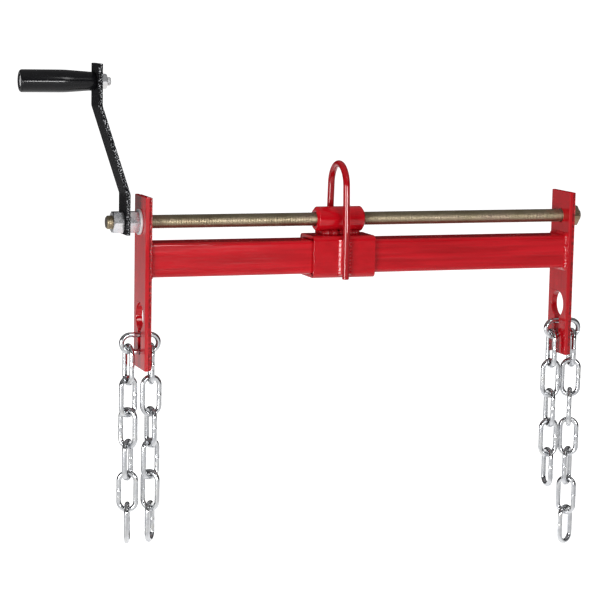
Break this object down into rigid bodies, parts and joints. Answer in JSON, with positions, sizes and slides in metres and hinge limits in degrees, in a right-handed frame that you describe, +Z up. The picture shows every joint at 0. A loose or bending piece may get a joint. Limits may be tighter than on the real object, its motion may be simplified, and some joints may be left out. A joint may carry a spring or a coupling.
{
  "type": "engine load leveler",
  "caption": "Square beam hung from a sliding collar with a lifting loop; a crank and screw shift the beam, and chains hang in keyhole slots at its ends.",
  "frame": {"origin": "seat of the hoist's hook, under the crown of the lifting loop", "axes": "+X along the beam away from the crank, +Y across it to the back, +Z up"},
  "size_m": [0.7142, 0.0664, 0.6005],
  "materials": {
    "red_paint": "gloss red enamel",
    "yellow_zinc": "yellow zinc plate",
    "bright_zinc": "bright zinc plate",
    "black_hammer_paint": "black hammer paint",
    "black_plastic": "satin black",
    "chain_zinc": "bright zinc plate"
  },
  "bodies": {
    "carriage": {"carriage_collar": "red_paint", "carriage_nut": "red_paint", "nut_saddle_weld": "red_paint", "lifting_loop": "red_paint", "loop_welds": "red_paint"},
    "beam_frame": {"main_beam": "red_paint", "crank_end_plate": "red_paint", "far_end_plate": "red_paint", "beam_welds": "red_paint"},
    "crank": {"lead_screw": "yellow_zinc", "crank_washer": "bright_zinc", "crank_inner_nut": "bright_zinc", "crank_arm": "black_hammer_paint", "crank_outer_nut": "bright_zinc", "far_end_nut": "yellow_zinc", "grip_bolt": "bright_zinc", "grip_nut": "bright_zinc"},
    "grip": {"hand_grip": "black_plastic"},
    "crank_through_link": {"crank_through_link": "chain_zinc"},
    "far_through_link": {"far_through_link": "chain_zinc"},
    "crank_outer_link_1": {"crank_outer_link_1": "chain_zinc"},
    "crank_outer_link_2": {"crank_outer_link_2": "chain_zinc"},
    "crank_outer_link_3": {"crank_outer_link_3": "chain_zinc"},
    "crank_outer_link_4": {"crank_outer_link_4": "chain_zinc"},
    "crank_outer_link_5": {"crank_outer_link_5": "chain_zinc"},
    "crank_outer_link_6": {"crank_outer_link_6": "chain_zinc"},
    "crank_inner_link_1": {"crank_inner_link_1": "chain_zinc"},
    "crank_inner_link_2": {"crank_inner_link_2": "chain_zinc"},
    "crank_inner_link_3": {"crank_inner_link_3": "chain_zinc"},
    "crank_inner_link_4": {"crank_inner_link_4": "chain_zinc"},
    "crank_inner_link_5": {"crank_inner_link_5": "chain_zinc"},
    "crank_inner_link_6": {"crank_inner_link_6": "chain_zinc"},
    "far_inner_link_1": {"far_inner_link_1": "chain_zinc"},
    "far_inner_link_2": {"far_inner_link_2": "chain_zinc"},
    "far_inner_link_3": {"far_inner_link_3": "chain_zinc"},
    "far_inner_link_4": {"far_inner_link_4": "chain_zinc"},
    "far_inner_link_5": {"far_inner_link_5": "chain_zinc"},
    "far_outer_link_1": {"far_outer_link_1": "chain_zinc"},
    "far_outer_link_2": {"far_outer_link_2": "chain_zinc"},
    "far_outer_link_3": {"far_outer_link_3": "chain_zinc"},
    "far_outer_link_4": {"far_outer_link_4": "chain_zinc"},
    "far_outer_link_5": {"far_outer_link_5": "chain_zinc"},
    "far_outer_link_6": {"far_outer_link_6": "chain_zinc"},
    "far_outer_link_7": {"far_outer_link_7": "chain_zinc"}
  },
  "joints": [
    {"name": "carriage_travel", "type": "slide", "parent": "carriage", "child": "beam_frame", "axis": [1, 0, 0], "range_m": [-0.249, 0.1905]},
    {"name": "crank_spin", "type": "hinge", "parent": "beam_frame", "child": "crank", "pos_m": [0, 0, -0.0616], "axis": [1, 0, 0], "range_deg": [-44820, 34290]},
    {"name": "grip_spin", "type": "hinge", "parent": "crank", "child": "grip", "pos_m": [-0.3862, 0, 0.0999], "axis": [1, 0, 0], "continuous": true},
    {"name": "crank_link_slide", "type": "slide", "parent": "beam_frame", "child": "crank_through_link", "axis": [1, 0, 0], "range_m": [-0.0017, 0.0077]},
    {"name": "far_link_slide", "type": "slide", "parent": "beam_frame", "child": "far_through_link", "axis": [1, 0, 0], "range_m": [-0.0087, 0.0019]},
    {"name": "crank_outer_link_1_swing", "type": "hinge", "parent": "crank_through_link", "child": "crank_outer_link_1", "pos_m": [-0.2571, 0, -0.21337], "axis": [1, 0, 0], "range_deg": [-30, 30]},
    {"name": "crank_outer_link_2_swing", "type": "hinge", "parent": "crank_outer_link_1", "child": "crank_outer_link_2", "pos_m": [-0.2571, 0, -0.25073], "axis": [-0.1564, 0.9877, 0], "range_deg": [0, 45]},
    {"name": "crank_outer_link_3_swing", "type": "hinge", "parent": "crank_outer_link_2", "child": "crank_outer_link_3", "pos_m": [-0.2571, 0, -0.28843], "axis": [0.9205, 0.3907, 0], "range_deg": [0, 45]},
    {"name": "crank_outer_link_4_swing", "type": "hinge", "parent": "crank_outer_link_3", "child": "crank_outer_link_4", "pos_m": [-0.2571, 0, -0.32613], "axis": [-0.6691, 0.7431, 0], "range_deg": [0, 45]},
    {"name": "crank_outer_link_5_swing", "type": "hinge", "parent": "crank_outer_link_4", "child": "crank_outer_link_5", "pos_m": [-0.2571, 0, -0.36383], "axis": [0.5878, 0.809, 0], "range_deg": [0, 45]},
    {"name": "crank_outer_link_6_swing", "type": "hinge", "parent": "crank_outer_link_5", "child": "crank_outer_link_6", "pos_m": [-0.2571, 0, -0.40153], "axis": [-0.9397, 0.342, 0], "range_deg": [0, 45]},
    {"name": "crank_inner_link_1_swing", "type": "hinge", "parent": "crank_through_link", "child": "crank_inner_link_1", "pos_m": [-0.2295, 0, -0.21337], "axis": [1, 0, 0], "range_deg": [-30, 30]},
    {"name": "crank_inner_link_2_swing", "type": "hinge", "parent": "crank_inner_link_1", "child": "crank_inner_link_2", "pos_m": [-0.2295, 0, -0.25073], "axis": [-0.1564, -0.9877, 0], "range_deg": [0, 45]},
    {"name": "crank_inner_link_3_swing", "type": "hinge", "parent": "crank_inner_link_2", "child": "crank_inner_link_3", "pos_m": [-0.2295, 0, -0.28843], "axis": [1, 0, 0], "range_deg": [-45, 45]},
    {"name": "crank_inner_link_4_swing", "type": "hinge", "parent": "crank_inner_link_3", "child": "crank_inner_link_4", "pos_m": [-0.2295, 0, -0.32613], "axis": [0.1908, -0.9816, 0], "range_deg": [0, 45]},
    {"name": "crank_inner_link_5_swing", "type": "hinge", "parent": "crank_inner_link_4", "child": "crank_inner_link_5", "pos_m": [-0.2295, 0, -0.36383], "axis": [-0.9205, -0.3907, 0], "range_deg": [0, 45]},
    {"name": "crank_inner_link_6_swing", "type": "hinge", "parent": "crank_inner_link_5", "child": "crank_inner_link_6", "pos_m": [-0.2295, 0, -0.40153], "axis": [0.6691, -0.7431, 0], "range_deg": [0, 45]},
    {"name": "far_inner_link_1_swing", "type": "hinge", "parent": "far_through_link", "child": "far_inner_link_1", "pos_m": [0.2879, 0, -0.21337], "axis": [1, 0, 0], "range_deg": [-30, 30]},
    {"name": "far_inner_link_2_swing", "type": "hinge", "parent": "far_inner_link_1", "child": "far_inner_link_2", "pos_m": [0.2879, 0, -0.25079], "axis": [0.0349, 0.9994, 0], "range_deg": [0, 45]},
    {"name": "far_inner_link_3_swing", "type": "hinge", "parent": "far_inner_link_2", "child": "far_inner_link_3", "pos_m": [0.2879, 0, -0.28849], "axis": [0.9976, -0.0698, 0], "range_deg": [-45, 45]},
    {"name": "far_inner_link_4_swing", "type": "hinge", "parent": "far_inner_link_3", "child": "far_inner_link_4", "pos_m": [0.2879, 0, -0.32619], "axis": [0, 1, 0], "range_deg": [0, 45]},
    {"name": "far_inner_link_5_swing", "type": "hinge", "parent": "far_inner_link_4", "child": "far_inner_link_5", "pos_m": [0.2879, 0, -0.36389], "axis": [-0.9994, 0.0349, 0], "range_deg": [-45, 45]},
    {"name": "far_outer_link_1_swing", "type": "hinge", "parent": "far_through_link", "child": "far_outer_link_1", "pos_m": [0.3155, 0, -0.21337], "axis": [1, 0, 0], "range_deg": [-30, 30]},
    {"name": "far_outer_link_2_swing", "type": "hinge", "parent": "far_outer_link_1", "child": "far_outer_link_2", "pos_m": [0.3155, 0, -0.25073], "axis": [-0.1564, -0.9877, 0], "range_deg": [0, 45]},
    {"name": "far_outer_link_3_swing", "type": "hinge", "parent": "far_outer_link_2", "child": "far_outer_link_3", "pos_m": [0.3155, 0, -0.28843], "axis": [0.9272, -0.3746, 0], "range_deg": [0, 45]},
    {"name": "far_outer_link_4_swing", "type": "hinge", "parent": "far_outer_link_3", "child": "far_outer_link_4", "pos_m": [0.3155, 0, -0.32613], "axis": [-0.454, -0.891, 0], "range_deg": [0, 45]},
    {"name": "far_outer_link_5_swing", "type": "hinge", "parent": "far_outer_link_4", "child": "far_outer_link_5", "pos_m": [0.3155, 0, -0.36383], "axis": [0.891, -0.454, 0], "range_deg": [0, 45]},
    {"name": "far_outer_link_6_swing", "type": "hinge", "parent": "far_outer_link_5", "child": "far_outer_link_6", "pos_m": [0.3155, 0, -0.40153], "axis": [-0.7071, -0.7071, 0], "range_deg": [0, 45]},
    {"name": "far_outer_link_7_swing", "type": "hinge", "parent": "far_outer_link_6", "child": "far_outer_link_7", "pos_m": [0.3155, 0, -0.43923], "axis": [0.7071, -0.7071, 0], "range_deg": [0, 45]}
  ],
  "couplings": [
    {"joint": "carriage_travel", "follows": "crank_spin", "m_per_rad": 0.00031831}
  ]
}
